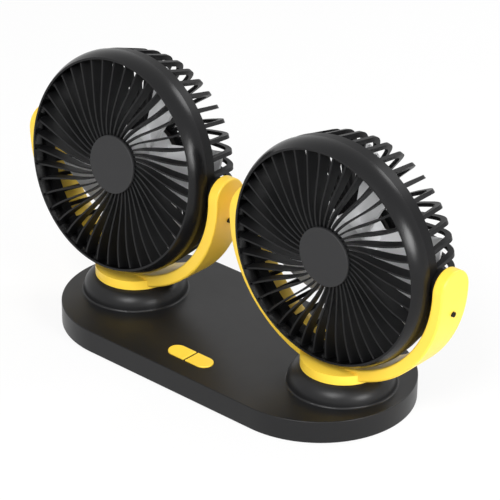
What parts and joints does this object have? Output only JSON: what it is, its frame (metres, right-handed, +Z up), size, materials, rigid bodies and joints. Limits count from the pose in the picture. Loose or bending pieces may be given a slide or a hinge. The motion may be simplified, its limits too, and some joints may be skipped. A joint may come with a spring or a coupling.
{
  "type": "twin dashboard fan",
  "caption": "Two caged round fan heads that tilt in yellow yokes, each swivelling on a pedestal of one long rounded base with push buttons.",
  "frame": {"origin": "on the floor plane under the middle of the base", "axes": "+X along the base from the left fan to the right fan, fans face -Y, +Z up"},
  "size_m": [0.3274, 0.119, 0.1747],
  "materials": {
    "satin_black": "satin moulded plastic",
    "hub_grey": "matt grey plastic disc",
    "yellow": "satin yellow moulded plastic",
    "underside_black": "matt black plastic",
    "foot_rubber": "soft black rubber",
    "screw_steel": "zinc plated steel",
    "board_green": "green solder mask",
    "switch_black": "matt black plastic",
    "plunger_white": "white plastic",
    "gland_rubber": "black rubber",
    "pin_steel": "ground steel",
    "washer_nylon": "natural nylon",
    "stator_iron": "varnished winding and core",
    "bush_brass": "sintered bronze",
    "rotor_steel": "plated steel cup",
    "magnet_grey": "dark ferrite",
    "impeller_smoke": "pale grey translucent plastic"
  },
  "bodies": {
    "base": {"base_cover": "satin_black", "base_plate": "underside_black", "base_screws": "screw_steel", "feet": "foot_rubber", "circuit_board": "board_green", "board_screws": "screw_steel", "switch_housings": "switch_black", "cord_gland": "gland_rubber", "swivel_washer_left": "washer_nylon", "swivel_washer_right": "washer_nylon"},
    "button_left": {"button_left": "yellow", "plunger_left": "plunger_white"},
    "yoke_left": {"yoke_left": "yellow", "tilt_pins_left": "pin_steel", "tilt_washers_left": "washer_nylon", "spigot_clip_left": "screw_steel"},
    "head_left": {"front_grille_left": "satin_black", "hub_cap_left": "hub_grey", "rear_cage_left": "satin_black", "motor_stator_left": "stator_iron", "motor_bush_left": "bush_brass", "motor_screws_left": "screw_steel"},
    "impeller_left": {"impeller_left": "impeller_smoke", "motor_shaft_left": "pin_steel", "rotor_cup_left": "rotor_steel", "rotor_magnet_left": "magnet_grey"},
    "button_right": {"button_right": "yellow", "plunger_right": "plunger_white"},
    "yoke_right": {"yoke_right": "yellow", "tilt_pins_right": "pin_steel", "tilt_washers_right": "washer_nylon", "spigot_clip_right": "screw_steel"},
    "head_right": {"front_grille_right": "satin_black", "hub_cap_right": "hub_grey", "rear_cage_right": "satin_black", "motor_stator_right": "stator_iron", "motor_bush_right": "bush_brass", "motor_screws_right": "screw_steel"},
    "impeller_right": {"impeller_right": "impeller_smoke", "motor_shaft_right": "pin_steel", "rotor_cup_right": "rotor_steel", "rotor_magnet_right": "magnet_grey"}
  },
  "joints": [
    {"name": "yoke_swivel_left", "type": "hinge", "parent": "base", "child": "yoke_left", "pos_m": [-0.0842, 0, 0.026], "axis": [0, 0, 1], "range_deg": [-180, 180]},
    {"name": "head_tilt_left", "type": "hinge", "parent": "yoke_left", "child": "head_left", "pos_m": [-0.0842, 0, 0.1042], "axis": [-1, 0, 0], "range_deg": [-98, 82]},
    {"name": "impeller_spin_left", "type": "hinge", "parent": "head_left", "child": "impeller_left", "pos_m": [-0.0842, 0, 0.1042], "axis": [0, -0.9903, 0.1392], "continuous": true},
    {"name": "button_press_left", "type": "slide", "parent": "base", "child": "button_left", "axis": [0, 0, -1], "range_m": [0, 0.0008], "stiffness_N_per_m": 1500, "springref_m": -0.0004},
    {"name": "yoke_swivel_right", "type": "hinge", "parent": "base", "child": "yoke_right", "pos_m": [0.0842, 0, 0.026], "axis": [0, 0, 1], "range_deg": [-180, 180]},
    {"name": "head_tilt_right", "type": "hinge", "parent": "yoke_right", "child": "head_right", "pos_m": [0.0842, 0, 0.1042], "axis": [-1, 0, 0], "range_deg": [-90.7, 89.3]},
    {"name": "impeller_spin_right", "type": "hinge", "parent": "head_right", "child": "impeller_right", "pos_m": [0.0842, 0, 0.1042], "axis": [0, -0.9999, 0.0122], "continuous": true},
    {"name": "button_press_right", "type": "slide", "parent": "base", "child": "button_right", "axis": [0, 0, -1], "range_m": [0, 0.0008], "stiffness_N_per_m": 1500, "springref_m": -0.0004}
  ]
}
